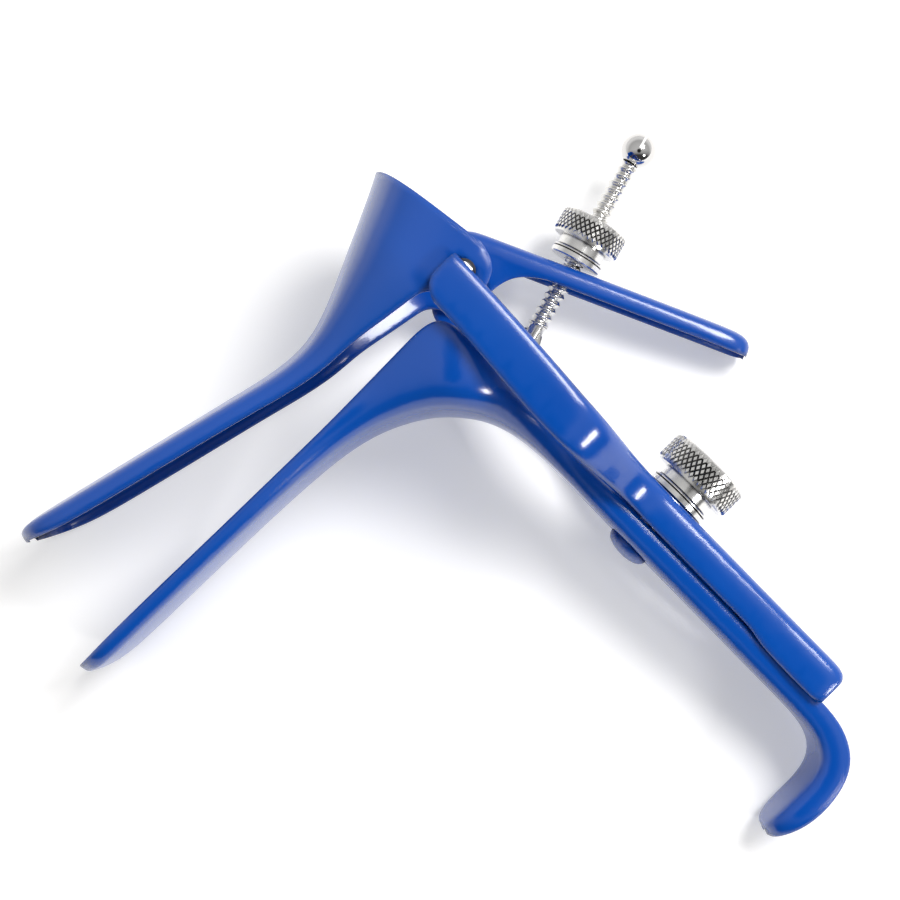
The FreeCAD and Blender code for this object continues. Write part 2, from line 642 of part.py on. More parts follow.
def lever_screw():
    """Screw rod with a flat eye at one end, turned down at the other for the ball."""
    last = SCREW_LENGTH - BALL_DIAMETER / 2.0 + 0.2
    profile = [(SCREW_NECK_START, 0.0)]
    profile.append((SCREW_NECK_START, SCREW_NECK_DIAMETER / 2.0))
    profile.append((SCREW_THREAD_START - 0.3, SCREW_NECK_DIAMETER / 2.0))
    profile.append((SCREW_THREAD_START, THREAD_DIAMETER / 2.0))
    profile.append((last, THREAD_DIAMETER / 2.0))
    profile.append((last, SCREW_TENON_DIAMETER / 2.0))
    profile.append((SCREW_LENGTH, SCREW_TENON_DIAMETER / 2.0))
    profile.append((SCREW_LENGTH, 0.0))
    rod = turned(profile, on_screw(0.0), screw_axis())
    low = SCREW_Z - SCREW_EYE_THICKNESS / 2.0
    axis = screw_axis()
    side = Vector(-axis.y, axis.x, 0)
    pivot = on_screw(0.0)
    pivot.z = low
    up = Vector(0, 0, 1)
    eye = Part.makeCylinder(SCREW_EYE_RADIUS, SCREW_EYE_THICKNESS, pivot, up)
    mirrored = [(reach, -half) for reach, half in reversed(SCREW_EYE_BLEND)]
    blend = []
    for reach, half in SCREW_EYE_BLEND + mirrored:
        blend.append(pivot.add(Vector(axis).multiply(reach)).add(Vector(side).multiply(half)))
    neck = Part.Face(Part.makePolygon(blend + blend[:1])).extrude(Vector(0, 0, SCREW_EYE_THICKNESS))
    shape = rod.fuse(eye).fuse(neck)
    hole_start = Vector(pivot.x, pivot.y, low - 1.0)
    hole_end = Vector(pivot.x, pivot.y, low + SCREW_EYE_THICKNESS + 1.0)
    return shape.cut(cylinder(PIVOT_PIN_DIAMETER + 2 * RUNNING_CLEARANCE, hole_start, hole_end))


def screw_ball():
    """Ball on the end of the lever screw, with a driver slot."""
    centre = on_screw(SCREW_LENGTH)
    ball = Part.makeSphere(BALL_DIAMETER / 2.0, centre)
    ball = ball.cut(cylinder(SCREW_TENON_DIAMETER, on_screw(SCREW_LENGTH - BALL_DIAMETER), centre))
    axis = screw_axis()
    side = Vector(0, 0, 1)
    across = axis.cross(side)
    tip = on_screw(SCREW_LENGTH + BALL_DIAMETER / 2.0)
    corners = []
    for along, over in ((-1, -1), (1, -1), (1, 1), (-1, 1)):
        corner = tip.add(Vector(axis).multiply(along * BALL_SLOT_DEPTH))
        corners.append(corner.add(Vector(across).multiply(over * BALL_SLOT_WIDTH / 2.0)))
    through = Vector(side).multiply(2.0 * BALL_DIAMETER)
    cut = Part.Face(Part.makePolygon(corners + corners[:1])).extrude(through)
    cut.translate(Vector(side).multiply(-BALL_DIAMETER))
    return ball.cut(cut)


def pivot_pin():
    """Headed pin that hangs the lever screw on the right arm."""
    outside = SCREW_Z - SCREW_EYE_THICKNESS / 2.0 - SIDE_CLEARANCE
    start = Vector(SCREW_PIVOT_X, SCREW_PIVOT_Y, outside)
    reach = -ARM_INSIDE - outside
    head = (PIVOT_HEAD_DIAMETER, PIVOT_HEAD_HEIGHT)
    return domed_pin(PIVOT_PIN_DIAMETER, reach, *head, start, Vector(0, 0, 1))


def pivot_spacer():
    """Washer between the right arm and the eye of the lever screw."""
    inside = SCREW_Z + SCREW_EYE_THICKNESS / 2.0 + SIDE_CLEARANCE
    start = Vector(SCREW_PIVOT_X, SCREW_PIVOT_Y, -ARM_OUTSIDE)
    end = Vector(SCREW_PIVOT_X, SCREW_PIVOT_Y, inside)
    ring = cylinder(PIVOT_SPACER_DIAMETER, start, end)
    return ring.cut(cylinder(PIVOT_PIN_DIAMETER, start, end))


def lever_washer():
    """Loose washer between the thumb lever and its nut."""
    start = on_screw(LEVER_WASHER_AT)
    return ring_washer(LEVER_WASHER_DIAMETER, LEVER_WASHER_THICKNESS, start, screw_axis())


def lever_nut():
    """Nut that holds the thumb lever, and so the upper blade, where it is set."""
    start = on_screw(LEVER_WASHER_AT + LEVER_WASHER_THICKNESS)
    size = (LEVER_NECK_DIAMETER, LEVER_NECK_LENGTH, LEVER_KNURL_DIAMETER, LEVER_KNURL_LENGTH)
    return knurled_nut(*size, start, screw_axis())


def lever_back(distance, inward):
    """Point on the back of the thumb lever: distance along it, and how far inside."""
    turn = math.radians(LEVER_ANGLE)
    x = LEVER_X + distance * math.cos(turn) + inward * math.sin(turn)
    y = LEVER_Y + distance * math.sin(turn) - inward * math.cos(turn)
    return x, y


def lever_plate(blade):
    """Flat plate between the right ear's edge and the lever's tray."""
    rim = [Vector(x, y, 0) for x, y in EAR_PLATE_RIM]
    seat = []
    for along, inward in EAR_PLATE_SEAT:
        x, y = lever_back(along, inward)
        seat.append(Vector(x, y, 0))
    throat = [Vector(x, y, 0) for x, y in EAR_PLATE_THROAT]
    straight = Part.makePolygon([throat[-1]] + rim + seat)
    curve = spline([seat[-1]] + throat).toShape()
    face = Part.Face(Part.Wire(straight.Edges + [curve]))
    plate = face.extrude(Vector(0, 0, SHEET - 2.0 * PLATE_INSET))
    plate.translate(Vector(0, 0, PLATE_INSET - EAR_OUTSIDE))
    pieces = sorted(plate.cut(blade).Solids, key=lambda solid: solid.Volume)
    return pieces[-1]


def thumb_lever(blade):
    """Tray for the thumb, one with a plate butt-welded to the right ear."""
    stations = []
    for along, inward, half_width, crown, corner, depth, sheet in LEVER_SECTIONS:
        x, y = lever_back(along, inward)
        stations.append((x, y, LEVER_ANGLE - 90.0, half_width, crown, corner, depth, sheet))
    tray = channel(stations, -(LEVER_INSIDE + LEVER_WIDTH / 2.0))
    turn = math.radians(LEVER_ANGLE)
    along = Vector(math.cos(turn), math.sin(turn), 0)
    through = Vector(-along.y, along.x, 0)
    x, y = lever_back(LEVER_SLOT_AT, SHEET / 2.0)
    middle = Vector(x, y, SCREW_Z)
    tray = tray.cut(slot(LEVER_SLOT_WIDTH, LEVER_SLOT_LENGTH, 3.0 * SHEET, middle, along, through))
    return tray.fuse(lever_plate(blade))


def lying():
    """The turn from the instrument's own axes to the way it lies on a table."""
    tip = FreeCAD.Rotation(Vector(1, 0, 0), LIE_TURN_X)
    roll = FreeCAD.Rotation(Vector(0, 1, 0), LIE_TURN_Y)
    return FreeCAD.Placement(Vector(*LIE_SHIFT), roll.multiply(tip))


blade = upper_blade()
PIECES = [
    ("lower_blade", lower_blade()),
    ("clamp_stud", clamp_stud()),
    ("yoke", yoke()),
    ("hinge_pins", hinge_pins()),
    ("hinge_washers", hinge_washers()),
    ("upper_blade", blade),
    ("thumb_lever", thumb_lever(blade)),
    ("lever_screw", lever_screw()),
    ("screw_ball", screw_ball()),
    ("pivot_pin", pivot_pin()),
    ("pivot_spacer", pivot_spacer()),
    ("lever_washer", lever_washer()),
    ("lever_nut", lever_nut()),
    ("handle_washer", handle_washer()),
    ("handle_nut", handle_nut()),
]

os.makedirs("parts", exist_ok=True)
for name, piece in PIECES:
    piece.Placement = lying().multiply(piece.Placement)
    piece.exportStep("parts/" + name + ".step")
    facets = len(piece.tessellate(0.1)[1])
    print(name, piece.isValid(), len(piece.Solids), round(piece.Volume, 1), facets)
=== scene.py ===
import json
import math

import bpy
from mathutils import Matrix, Vector


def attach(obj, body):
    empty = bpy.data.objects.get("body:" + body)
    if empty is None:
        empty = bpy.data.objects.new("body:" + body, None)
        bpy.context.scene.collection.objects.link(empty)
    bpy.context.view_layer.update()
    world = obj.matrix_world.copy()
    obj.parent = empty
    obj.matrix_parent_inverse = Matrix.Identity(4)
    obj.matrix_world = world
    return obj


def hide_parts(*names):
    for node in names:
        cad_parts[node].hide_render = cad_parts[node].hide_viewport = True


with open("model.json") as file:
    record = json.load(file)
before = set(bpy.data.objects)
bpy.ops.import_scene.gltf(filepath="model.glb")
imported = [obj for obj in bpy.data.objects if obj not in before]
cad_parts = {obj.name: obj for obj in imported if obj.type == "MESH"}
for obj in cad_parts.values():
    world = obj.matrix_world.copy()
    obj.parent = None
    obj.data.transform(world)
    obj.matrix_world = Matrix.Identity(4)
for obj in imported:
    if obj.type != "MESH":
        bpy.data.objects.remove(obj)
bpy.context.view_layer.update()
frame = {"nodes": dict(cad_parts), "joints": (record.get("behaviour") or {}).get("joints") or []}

# The instrument lies on its right side, so its own axes are read from its joints: X from
# the blade tips to the user, Y from the handle up to the upper blade, Z to its left side.
# The blade hinge turns about Z, and the yoke slides along Y.
joints = {joint["name"]: joint for joint in frame["joints"]}
left = Vector(joints["blade_hinge"]["axis"]).normalized()
up = Vector(joints["yoke_slide"]["axis"]).normalized()
out = up.cross(left).normalized()
turn = Matrix((out, up, left)).transposed()
hinge_place = Vector((-0.0010, 0.0002, 0.0))  # the blade hinge, on those axes
origin = Vector(joints["blade_hinge"]["pos_m"]) - turn @ hinge_place
instrument = Matrix.Translation(origin) @ turn.to_4x4()


# Blades, yoke and lever: sheet steel, pressed, its edges rounded, then dipped in a glossy
# blue coat a fraction of a millimetre thick. The coat is a little deeper in some places than
# in others, and its skin is faintly uneven, as a dipped coat dries.
def finish_group(name, second_colour, relief):
    """Node group of a finish with its sockets: two colours, a roughness and a relief."""
    group = bpy.data.node_groups.new(name, "ShaderNodeTree")
    for side, socket, kind in (
            ("INPUT", "Colour", "Color"), ("INPUT", second_colour, "Color"),
            ("INPUT", "Roughness", "Float"), ("INPUT", relief, "Float"),
            ("OUTPUT", "Colour", "Color"), ("OUTPUT", "Roughness", "Float"),
            ("OUTPUT", "Normal", "Vector")):
        group.interface.new_socket(socket, in_out=side, socket_type="NodeSocket" + kind)
    given = group.nodes.new("NodeGroupInput")
    result = group.nodes.new("NodeGroupOutput")
    return group, given.outputs, result.inputs


def grain(group, scale, detail):
    """Noise that is fixed to the piece, with its scale in grains a metre."""
    place = group.nodes.new("ShaderNodeTexCoord")
    noise = group.nodes.new("ShaderNodeTexNoise")
    noise.inputs["Scale"].default_value = scale
    noise.inputs["Detail"].default_value = detail
    group.links.new(place.outputs["Object"], noise.inputs["Vector"])
    return noise.outputs["Fac"]


def colour_between(group, share, first, second):
    """Colour between two, by a share that changes over the surface."""
    mix = group.nodes.new("ShaderNodeMix")
    mix.data_type = "RGBA"
    group.links.new(share, mix.inputs["Factor"])
    group.links.new(first, mix.inputs["A"])
    group.links.new(second, mix.inputs["B"])
    return mix.outputs["Result"]


def uneven(group, share, least, width):
    """Roughness that wanders between its least value and a width above it."""
    wander = group.nodes.new("ShaderNodeMath")
    wander.operation = "MULTIPLY_ADD"
    wander.inputs[1].default_value = width
    group.links.new(share, wander.inputs[0])
    group.links.new(least, wander.inputs[2])
    return wander.outputs["Value"]


def raised(group, height, strength, depth):
    """Bump node for a relief that is no deeper than a depth in metres."""
    bump = group.nodes.new("ShaderNodeBump")
    bump.inputs["Distance"].default_value = depth
    group.links.new(strength, bump.inputs["Strength"])
    group.links.new(height, bump.inputs["Height"])
    return bump


def dipped_coat():
    """Node group: coat colour, roughness and the low ripple of a dipped skin."""
    group, given, result = finish_group("dipped_coat", "Deep Colour", "Ripple")
    pools = grain(group, 55.0, 2.0)
    colour = colour_between(group, pools, given["Colour"], given["Deep Colour"])
    group.links.new(colour, result["Colour"])
    haze = grain(group, 240.0, 3.0)
    group.links.new(uneven(group, haze, given["Roughness"], 0.06), result["Roughness"])
    rim = group.nodes.new("ShaderNodeBevel")
    rim.samples = 6
    rim.inputs["Radius"].default_value = 0.0015
    ripple = raised(group, grain(group, 170.0, 1.0), given["Ripple"], 0.00005)
    group.links.new(rim.outputs["Normal"], ripple.inputs["Normal"])
    group.links.new(ripple.outputs["Normal"], result["Normal"])
    return group


def finish_material(name, group, colour, second_colour, roughness, relief):
    """Material whose colour, roughness and normal come from a finish's group."""
    material = bpy.data.materials.new(name)
    material.use_nodes = True
    nodes, links = material.node_tree.nodes, material.node_tree.links
    shader = nodes["Principled BSDF"]
    finish = nodes.new("ShaderNodeGroup")
    finish.node_tree = group
    values = ((*colour, 1.0), (*second_colour, 1.0), roughness, relief)
    for socket, value in zip(finish.inputs, values):
        socket.default_value = value
    links.new(finish.outputs["Colour"], shader.inputs["Base Color"])
    links.new(finish.outputs["Roughness"], shader.inputs["Roughness"])
    links.new(finish.outputs["Normal"], shader.inputs["Normal"])
    return material, shader, finish


def blue_coat():
    """Glossy blue coating, which shines less where it is seen at a flat angle."""
    material, shader, finish = finish_material(
        "blue_coat", dipped_coat(), (0.001, 0.080, 0.430), (0.001, 0.062, 0.365), 0.14, 0.20)
    nodes, links = material.node_tree.nodes, material.node_tree.links
    shader.inputs["IOR"].default_value = 1.50
    shader.inputs["Coat Roughness"].default_value = 0.03
    slant = nodes.new("ShaderNodeLayerWeight")
    links.new(finish.outputs["Normal"], slant.inputs["Normal"])
    for gloss, straight_on, flat_on in (
            ("Specular IOR Level", 0.50, 0.16), ("Coat Weight", 0.40, 0.0)):
        dulled = nodes.new("ShaderNodeMapRange")
        dulled.inputs["From Min"].default_value = 0.55
        dulled.inputs["From Max"].default_value = 0.92
        dulled.inputs["To Min"].default_value = straight_on
        dulled.inputs["To Max"].default_value = flat_on
        links.new(slant.outputs["Facing"], dulled.inputs["Value"])
        links.new(dulled.outputs["Result"], shader.inputs[gloss])
    return material


def select_only(piece, *others):
    """Selects a piece, as the active one, and any others with it."""
    bpy.ops.object.select_all(action="DESELECT")
    for each in (piece, *others):
        each.select_set(True)
    bpy.context.view_layer.objects.active = piece


def merged_copy(name, node, material, soft_angle):
    """Copy of a built piece with its facets merged into one smooth skin."""
    same_corner = 0.000002
    piece = frame["nodes"][node].copy()
    piece.data = frame["nodes"][node].data.copy()
    piece.name = name
    piece.parent = None
    bpy.context.scene.collection.objects.link(piece)
    select_only(piece)
    bpy.ops.object.mode_set(mode="EDIT")
    bpy.ops.mesh.select_all(action="SELECT")
    bpy.ops.mesh.remove_doubles(threshold=same_corner)
    bpy.ops.object.mode_set(mode="OBJECT")
    bpy.ops.object.shade_smooth_by_angle(angle=math.radians(soft_angle))
    evened = piece.modifiers.new("evened", "WEIGHTED_NORMAL")
    evened.keep_sharp = True
    bpy.ops.object.modifier_apply(modifier="evened")
    piece.data.materials.clear()
    piece.data.materials.append(material)
    return piece


def stands_for(piece, node, body):
    """Lets a finished piece take a built node's place and move with its body."""
    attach(piece, body)
    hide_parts(node)


sheet_coat = blue_coat()
for node, body in (("lower_blade", "handle"), ("upper_blade", "upper_blade"),
                   ("yoke", "yoke"), ("thumb_lever", "upper_blade")):
    sheet = merged_copy(node + "_coated", node, sheet_coat, soft_angle=75.0)
    stands_for(sheet, node, body)


# Knurled nuts: turned from bright steel bar, a diamond knurl rolled round the grip, a smooth
# neck below it, the bore chamfered. They run on the screws by hand. The steel keeps fine tool
# marks, and painted shade darkens it at the bottom of its grooves.
def tooled_steel():
    """Node group: colour, painted groove shade, roughness and fine tool marks of turned steel."""
    group, given, result = finish_group("turned_steel", "Worn Colour", "Marks")
    stains = grain(group, 420.0, 4.0)
    unshaded_colour = colour_between(group, stains, given["Colour"], given["Worn Colour"])
    # Painted shade: ambient occlusion darkens the colour towards near black at the bottom of
    # grooves and hollows.
    hollow = group.nodes.new("ShaderNodeAmbientOcclusion")
    hollow.samples = 6
    hollow.inputs["Distance"].default_value = 0.0005
    painted_groove_shade = group.nodes.new("ShaderNodeValToRGB")
    painted_groove_shade.color_ramp.elements[0].position = 0.35
    painted_groove_shade.color_ramp.elements[0].color = (0.10, 0.10, 0.11, 1.0)
    painted_groove_shade.color_ramp.elements[1].position = 0.92
    group.links.new(hollow.outputs["AO"], painted_groove_shade.inputs["Fac"])
    groove_shaded = group.nodes.new("ShaderNodeMix")
    groove_shaded.data_type = "RGBA"
    groove_shaded.blend_type = "MULTIPLY"
    groove_shaded.inputs["Factor"].default_value = 1.0
    group.links.new(unshaded_colour, groove_shaded.inputs["A"])
    group.links.new(painted_groove_shade.outputs["Color"], groove_shaded.inputs["B"])
    group.links.new(groove_shaded.outputs["Result"], result["Colour"])
    group.links.new(uneven(group, stains, given["Roughness"], 0.12), result["Roughness"])
    marks = raised(group, grain(group, 2600.0, 2.0), given["Marks"], 0.00001)
    group.links.new(marks.outputs["Normal"], result["Normal"])
    return group


steel_group = tooled_steel()


def steel_material(name, colour, worn, roughness, marks):
    """Bare steel with tool marks, and painted shade darkening its grooves."""
    material, shader, _ = finish_material(name, steel_group, colour, worn, roughness, marks)
    shader.inputs["Metallic"].default_value = 1.0
    return material


turned_steel = steel_material("turned_steel", (0.88, 0.87, 0.85), (0.72, 0.71, 0.69), 0.17, 0.5)


def pick(piece, kind, test):
    """Goes into edit mode with only the edges or faces selected that pass a test."""
    bpy.ops.object.mode_set(mode="EDIT")
    bpy.ops.mesh.select_mode(type=kind)
    bpy.ops.mesh.select_all(action="DESELECT")
    bpy.ops.object.mode_set(mode="OBJECT")
    for item in (piece.data.edges if kind == "EDGE" else piece.data.polygons):
        item.select = test(item)
    bpy.ops.object.mode_set(mode="EDIT")


def heights(piece, edge):
    """Heights of an edge's two ends."""
    return [piece.data.vertices[index].co.z for index in edge.vertices]


def lies_at(piece, edge, height, play=0.00001):
    """Whether an edge lies level at a height."""
    return all(abs(end - height) < play for end in heights(piece, edge))


def turn_on(radius, steps):
    """Turns on from the selected ring, by steps of radius and rise along the axis."""
    for next_radius, rise in steps:
        bpy.ops.mesh.extrude_edges_move(TRANSFORM_OT_translate={"value": (0.0, 0.0, rise)})
        scale = next_radius / radius
        bpy.ops.transform.resize(value=(scale, scale, 1.0), center_override=(0.0, 0.0, 0.0))
        radius = next_radius


def close_bore(piece):
    """Joins the two open rings of a turned piece by its bore."""
    bpy.ops.mesh.select_all(action="DESELECT")
    bpy.ops.mesh.select_non_manifold(extend=False)
    bpy.ops.mesh.bridge_edge_loops()
    bpy.ops.mesh.select_all(action="SELECT")
    bpy.ops.mesh.normals_make_consistent(inside=False)
    bpy.ops.object.mode_set(mode="OBJECT")
    bpy.ops.object.shade_smooth_by_angle(angle=math.radians(26.0))
    piece.data.materials.append(turned_steel)


def set_along(piece, start, axis):
    """Moves a piece built up from the origin along Z to its place on the instrument."""
    stand = axis.to_track_quat("Z", "Y").to_matrix().to_4x4()
    piece.matrix_world = instrument @ Matrix.Translation(start) @ stand
    select_only(piece)
    bpy.ops.object.transform_apply(location=True, rotation=True, scale=True)


bore = 0.00225


def knurled_nut(name, node, start, axis, neck, grip, diamonds):
    """One nut, built along Z from its washer face, then put on its screw."""
    neck_radius, neck_length = neck
    grip_radius, grip_length = grip
    columns, rows = diamonds
    groove, groove_side = 0.00034, 0.00019
    chamfer, taper, dome = 0.00040, 0.0001, 0.0006
    neck_edge = 0.0002
    countersink = 0.0005
    base = grip_radius - groove
    low, high = neck_length + chamfer, neck_length + grip_length - chamfer
    band = high - low
    bpy.ops.object.select_all(action="DESELECT")
    bpy.ops.mesh.primitive_cylinder_add(
        vertices=columns, radius=base, depth=band, end_fill_type="NOTHING",
        location=(0.0, 0.0, (low + high) / 2.0))
    nut = bpy.context.active_object
    nut.name = name
    bpy.ops.object.transform_apply(location=True, rotation=True, scale=True)

    def upright(edge):
        """An edge along the nut's axis."""
        bottom, top = heights(nut, edge)
        return abs(top - bottom) > band / 2.0

    pick(nut, "EDGE", upright)
    bpy.ops.mesh.subdivide(number_cuts=rows - 1)
    bpy.ops.object.mode_set(mode="OBJECT")
    corners = len(nut.data.vertices)
    pick(nut, "FACE", lambda face: True)
    bpy.ops.mesh.poke(offset=0.0)
    bpy.ops.object.mode_set(mode="OBJECT")

    def inner_grid(edge):
        """An edge of the first grid, and not on either rim."""
        on_rim = lies_at(nut, edge, low) or lies_at(nut, edge, high)
        return max(edge.vertices) < corners and not on_rim

    pick(nut, "EDGE", inner_grid)
    bpy.ops.mesh.dissolve_edges(use_verts=False)
    bpy.ops.object.mode_set(mode="OBJECT")
    pick(nut, "FACE", lambda face: len(face.vertices) == 4)
    bpy.ops.mesh.inset(thickness=groove_side, depth=groove, use_individual=True)
    bpy.ops.object.mode_set(mode="OBJECT")
    pick(nut, "EDGE", lambda edge: lies_at(nut, edge, low))
    turn_on(base, [
        (base - taper, -chamfer), (neck_radius, 0.0), (neck_radius, neck_edge - neck_length),
        (neck_radius - neck_edge, -neck_edge), (bore, 0.0)])
    bpy.ops.object.mode_set(mode="OBJECT")
    pick(nut, "EDGE", lambda edge: lies_at(nut, edge, high))
    turn_on(base, [
        (base - taper, 0.5 * chamfer), (base - dome, 0.5 * chamfer),
        (bore + countersink, 0.0), (bore, -countersink)])
    close_bore(nut)
    set_along(nut, start, axis)
    stands_for(nut, node, node)


washer_thickness = 0.0019

# The stud stands square on the handle, and the nut on it clamps the yoke's stem.
handle_axis = Vector((1.0, 0.0, 0.0))
stem_outside, stud_height = -0.0013, -0.0583
stem_face = Vector((stem_outside, stud_height, 0.0))
knurled_nut("handle_nut_knurled", "handle_nut", stem_face + handle_axis * washer_thickness,
            handle_axis, neck=(0.00585, 0.0021), grip=(0.00855, 0.0061), diamonds=(48, 3))

# The lever screw swings on its pivot on the right arm, and the nut on it holds the lever.
screw_turn = math.radians(15.6)
screw_axis = Vector((math.cos(screw_turn), math.sin(screw_turn), 0.0))
screw_pivot = Vector((-0.0032, -0.0179, -0.0264))
pivot_to_lever = 0.02425
lever_face = screw_pivot + screw_axis * pivot_to_lever
knurled_nut("lever_nut_knurled", "lever_nut", lever_face + screw_axis * washer_thickness,
            screw_axis, neck=(0.00505, 0.0022), grip=(0.00725, 0.0054), diamonds=(38, 3))


# Loose washers under the nuts: turned from bar, with a shallow groove round the edge. They
# bear on the coated sheet, so that the nuts turn without wearing it.
def turned_washer(name, node, face, axis, radius):
    """One washer, built along Z from the face that bears on the sheet."""
    lower_edge, upper_edge = 0.00025, 0.0002
    groove = 0.0003
    groove_start, groove_side = 0.62 * washer_thickness, 0.08 * washer_thickness
    groove_end = groove_start + 2.0 * groove_side
    bpy.ops.object.select_all(action="DESELECT")
    bpy.ops.mesh.primitive_circle_add(vertices=72, radius=bore, fill_type="NOTHING")
    washer = bpy.context.active_object
    washer.name = name
    pick(washer, "EDGE", lambda edge: True)
    turn_on(bore, [
        (radius - lower_edge, 0.0), (radius, lower_edge), (radius, groove_start - lower_edge),
        (radius - groove, groove_side), (radius, groove_side),
        (radius, washer_thickness - groove_end - upper_edge),
        (radius - upper_edge, upper_edge), (bore, 0.0)])
    close_bore(washer)
    set_along(washer, face, axis)
    stands_for(washer, node, node)


turned_washer("handle_washer_turned", "handle_washer", stem_face, handle_axis, radius=0.00655)
turned_washer("lever_washer_turned", "lever_washer", lever_face, screw_axis, radius=0.0056)


# Screws: the long lever screw and the stud riveted in the handle. Both carry the same
# coarse round thread, rolled into bright wire, so that the nuts run quickly.
def threaded_rod(name, start, axis, turns):
    """Rod with a true round thread: one circle set off its axis, wound up by turns."""
    pitch, root, crest = 0.00167, 0.0016, 0.00215
    steps_a_turn = 22
    bpy.ops.object.select_all(action="DESELECT")
    bpy.ops.mesh.primitive_circle_add(
        vertices=28, radius=(root + crest) / 2.0, fill_type="NOTHING",
        location=((crest - root) / 2.0, 0.0, 0.0))
    rod = bpy.context.active_object
    rod.name = name
    bpy.ops.object.transform_apply(location=True, rotation=True, scale=True)
    wind = rod.modifiers.new("wind", "SCREW")
    wind.axis = "Z"
    wind.angle = 2.0 * math.pi
    wind.screw_offset = pitch
    wind.iterations = turns
    wind.steps = steps_a_turn
    wind.render_steps = steps_a_turn
    wind.use_merge_vertices = False
    bpy.ops.object.modifier_apply(modifier="wind")
    bpy.ops.object.mode_set(mode="EDIT")
    bpy.ops.mesh.select_all(action="DESELECT")
    bpy.ops.mesh.select_non_manifold(extend=False)
    bpy.ops.mesh.edge_face_add()
    bpy.ops.mesh.select_all(action="SELECT")
    bpy.ops.mesh.normals_make_consistent(inside=False)
    bpy.ops.object.mode_set(mode="OBJECT")
    bpy.ops.object.shade_smooth_by_angle(angle=math.radians(40.0))
    rod.data.materials.append(turned_steel)
    set_along(rod, start, axis)
    return rod


def plain_part(name, node, material, end, axis):
    """Merged copy of a screw's node, cut off square where its thread begins."""
    piece = merged_copy(name, node, material, soft_angle=40.0)
    bpy.ops.object.mode_set(mode="EDIT")
    bpy.ops.mesh.select_all(action="SELECT")
    bpy.ops.mesh.bisect(
        plane_co=instrument @ end, plane_no=turn @ axis, use_fill=True, clear_outer=True)
    bpy.ops.object.mode_set(mode="OBJECT")
    return piece


def one_piece(first, second):
    """Joins two parts of one turned piece."""
    select_only(first, second)
    bpy.ops.object.join()
    return first


# The lever screw: a flat eye and a plain neck, then the thread, up to the ball that keeps
# the nut from running off. The thread starts a little inside the neck.
neck_end, thread_start = 0.0095, 0.00909
eye = plain_part("lever_screw_threaded", "lever_screw", turned_steel,
                 screw_pivot + screw_axis * neck_end, screw_axis)
rod = threaded_rod("lever_thread", screw_pivot + screw_axis * thread_start, screw_axis, 23)
stands_for(one_piece(eye, rod), "lever_screw", "lever_screw")

# The clamp stud: its domed head is riveted in the handle and dipped with it, and its thread
# is left bright.
head_to_stem, head_to_thread = 0.0103, 0.00026
head_end = stem_face - handle_axis * head_to_stem
head = plain_part("clamp_stud_threaded", "clamp_stud", sheet_coat, head_end, handle_axis)
rod = threaded_rod("stud_thread", head_end + handle_axis * head_to_thread, handle_axis, 12)
stands_for(one_piece(head, rod), "clamp_stud", "handle")


# The ball: a polished ball fixed on the end of the lever screw, with a narrow saw cut from
# its tip to its middle.
polished_steel = steel_material("polished_steel", (0.74, 0.73, 0.72), (0.66, 0.65, 0.64), 0.04, 0.1)
ball_radius = 0.0036
ball_distance = 0.0509
saw_width, saw_reach, saw_height, saw_floor = 0.00045, 0.0090, 0.0080, 0.0001
bpy.ops.object.select_all(action="DESELECT")
bpy.ops.mesh.primitive_uv_sphere_add(segments=64, ring_count=40, radius=ball_radius)
ball = bpy.context.active_object
ball.name = "screw_ball_polished"
bpy.ops.object.select_all(action="DESELECT")
bpy.ops.mesh.primitive_cube_add(size=1.0, location=(0.0, 0.0, saw_floor + saw_height / 2.0))
saw = bpy.context.active_object
saw.scale = (saw_width, saw_reach, saw_height)
cut = ball.modifiers.new("saw_cut", "BOOLEAN")
cut.object = saw
cut.solver = "EXACT"
select_only(ball)
bpy.ops.object.modifier_apply(modifier="saw_cut")
bpy.data.objects.remove(saw)
bpy.ops.object.shade_smooth_by_angle(angle=math.radians(30.0))
ball.data.materials.append(polished_steel)
set_along(ball, screw_pivot + screw_axis * ball_distance, screw_axis)
stands_for(ball, "screw_ball", "lever_screw")


# Pins and the hinge's own washers: headed bright wire carried by the yoke's arms, and thin
# rings coloured dark.
dark_steel = steel_material("dark_steel", (0.10, 0.10, 0.11), (0.05, 0.05, 0.06), 0.30, 0.5)
for node, material, slot in (("pivot_pin", turned_steel, "bright_steel"),
                             ("pivot_spacer", turned_steel, "bright_steel"),
                             ("hinge_pins", turned_steel, "bright_steel"),
                             ("hinge_washers", dark_steel, "dark_steel")):
    smooth = merged_copy(node + "_smooth", node, material, soft_angle=32.0)
    stands_for(smooth, node, "yoke")


# Table top: a plain pale sheet. It takes the instrument's shadow, and shows a little lighter
# than it is lit, to the camera and in reflections.
table_size, table_drop = 6.0, 0.0002
table_lift = 0.28
bpy.ops.object.select_all(action="DESELECT")
bpy.ops.mesh.primitive_plane_add(size=table_size, location=(0.0, 0.0, -table_drop))
table = bpy.context.active_object
table.name = "table_top"
paper = bpy.data.materials.new("white_paper")
paper.use_nodes = True
nodes, links = paper.node_tree.nodes, paper.node_tree.links
shader = nodes["Principled BSDF"]
shader.inputs["Base Color"].default_value = (0.88, 0.87, 0.85, 1.0)
shader.inputs["Roughness"].default_value = 0.85
shader.inputs["Emission Color"].default_value = (1.0, 1.0, 1.0, 1.0)
rays = nodes.new("ShaderNodeLightPath")
seen = rays.outputs["Is Camera Ray"]
for kind in ("Is Glossy Ray", "Is Transmission Ray"):
    either = nodes.new("ShaderNodeMath")
    either.operation = "MAXIMUM"
    links.new(seen, either.inputs[0])
    links.new(rays.outputs[kind], either.inputs[1])
    seen = either.outputs["Value"]
lift = nodes.new("ShaderNodeMath")
lift.operation = "MULTIPLY"
lift.inputs[1].default_value = table_lift
links.new(seen, lift.inputs[0])
links.new(lift.outputs["Value"], shader.inputs["Emission Strength"])
table.data.materials.append(paper)


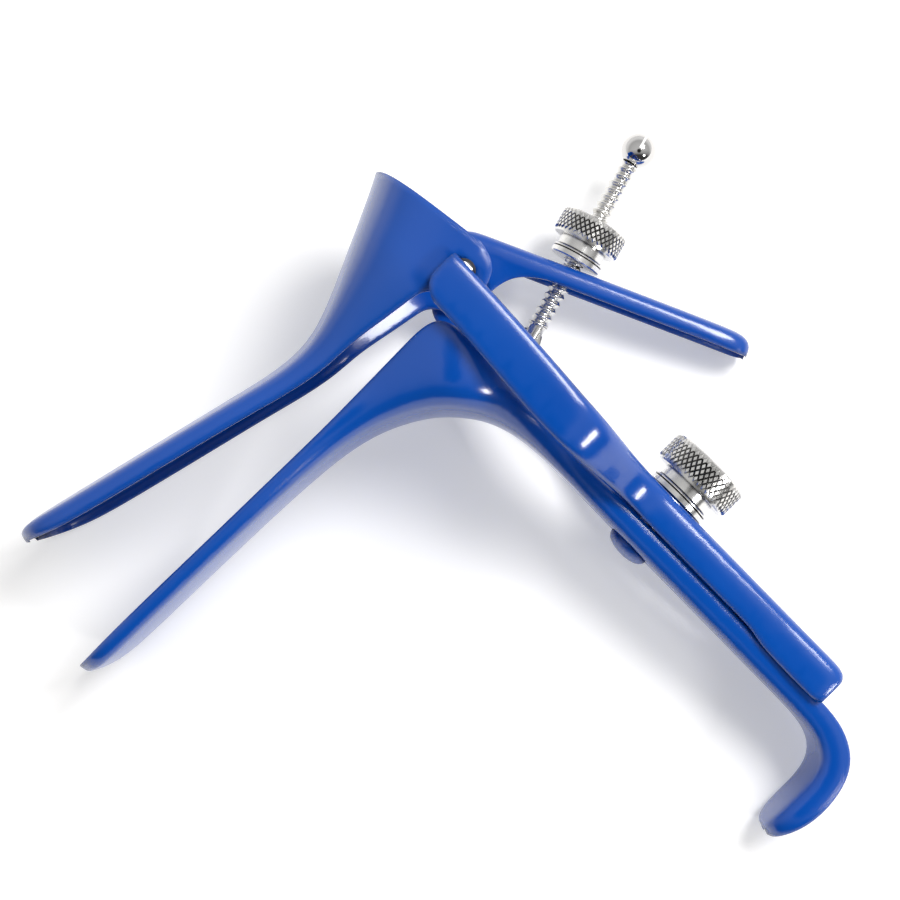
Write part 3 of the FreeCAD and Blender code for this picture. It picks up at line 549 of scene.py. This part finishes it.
# Room: pale walls, brightest at the table's height, with a dark spot overhead where the
# camera hangs, and dim beyond the picture's lower edge.
world = bpy.data.worlds.new("soft_room")
bpy.context.scene.world = world
world.use_nodes = True
air, air_links = world.node_tree.nodes, world.node_tree.links
around = air.new("ShaderNodeTexCoord")
picture_turn = math.radians(44.4)
picture_up = Vector((math.sin(picture_turn), math.cos(picture_turn), 0.0))
overhead = Vector((0.0, 0.0, 1.0))


def room_light(direction, level, changes):
    """Brightness of the room: its level square to a direction, then changes towards it."""
    lean = air.new("ShaderNodeVectorMath")
    lean.operation = "DOT_PRODUCT"
    lean.inputs[1].default_value = (turn @ direction).normalized()
    fade = air.new("ShaderNodeValToRGB")
    band = fade.color_ramp.elements
    band.remove(band[1])
    band[0].color = (level, level, level, 1.0)
    for position, level in changes:
        band.new(position).color = (level, level, level, 1.0)
    air_links.new(around.outputs["Generated"], lean.inputs[0])
    air_links.new(lean.outputs["Value"], fade.inputs["Fac"])
    return fade.outputs["Color"]


walls = room_light(overhead - 0.12 * picture_up, 0.9, [(0.35, 0.5), (0.962, 0.62), (0.985, 0.02)])
shade = room_light(-picture_up, 1.0, [(0.34, 0.6), (0.55, 0.08)])
both = air.new("ShaderNodeMix")
both.data_type = "RGBA"
both.blend_type = "MULTIPLY"
both.inputs["Factor"].default_value = 1.0
air_links.new(walls, both.inputs["A"])
air_links.new(shade, both.inputs["B"])
air_links.new(both.outputs["Result"], air["Background"].inputs["Color"])
air["Background"].inputs["Strength"].default_value = 1.0


# Lamps: a large soft box above the user's side, and a small one beyond the hook.
def soft_lamp(name, place, size, power):
    """Square soft source, placed in the instrument's own axes and aimed at its middle."""
    lamp = bpy.data.lights.new(name, "AREA")
    lamp.shape = "SQUARE"
    lamp.size = size
    lamp.energy = power
    holder = bpy.data.objects.new(name, lamp)
    bpy.context.scene.collection.objects.link(holder)
    spot = instrument @ Vector(place)
    aim = instrument @ Vector((-0.02, -0.03, 0.0)) - spot
    facing = aim.to_track_quat("-Z", "Y").to_matrix().to_4x4()
    holder.matrix_world = Matrix.Translation(spot) @ facing


soft_lamp("large_softbox", place=(0.45, -0.05, 0.68), size=0.30, power=5.0)
soft_lamp("small_softbox", place=(0.05, -0.50, 0.38), size=0.10, power=0.8)

# Camera: straight above the instrument's left side, as a short telephoto held over a table.
# Its focal length is measured in the picture's own pixels.
picture_width = 900.0
focal_length = 1810.0
camera = bpy.data.cameras.new("photo_camera")
camera.sensor_width = 36.0
camera.lens = camera.sensor_width * focal_length / picture_width
camera.clip_start = 0.01
camera_holder = bpy.data.objects.new("photo_camera", camera)
bpy.context.scene.collection.objects.link(camera_holder)
picture_right = picture_up.cross(overhead)
camera_turn = Matrix((picture_right, picture_up, overhead)).transposed().to_4x4()
camera_place = Vector((-0.02525, -0.02115, 0.348))
camera_holder.matrix_world = instrument @ Matrix.Translation(camera_place) @ camera_turn
bpy.context.scene.camera = camera_holder
bpy.context.scene.view_settings.view_transform = "Standard"
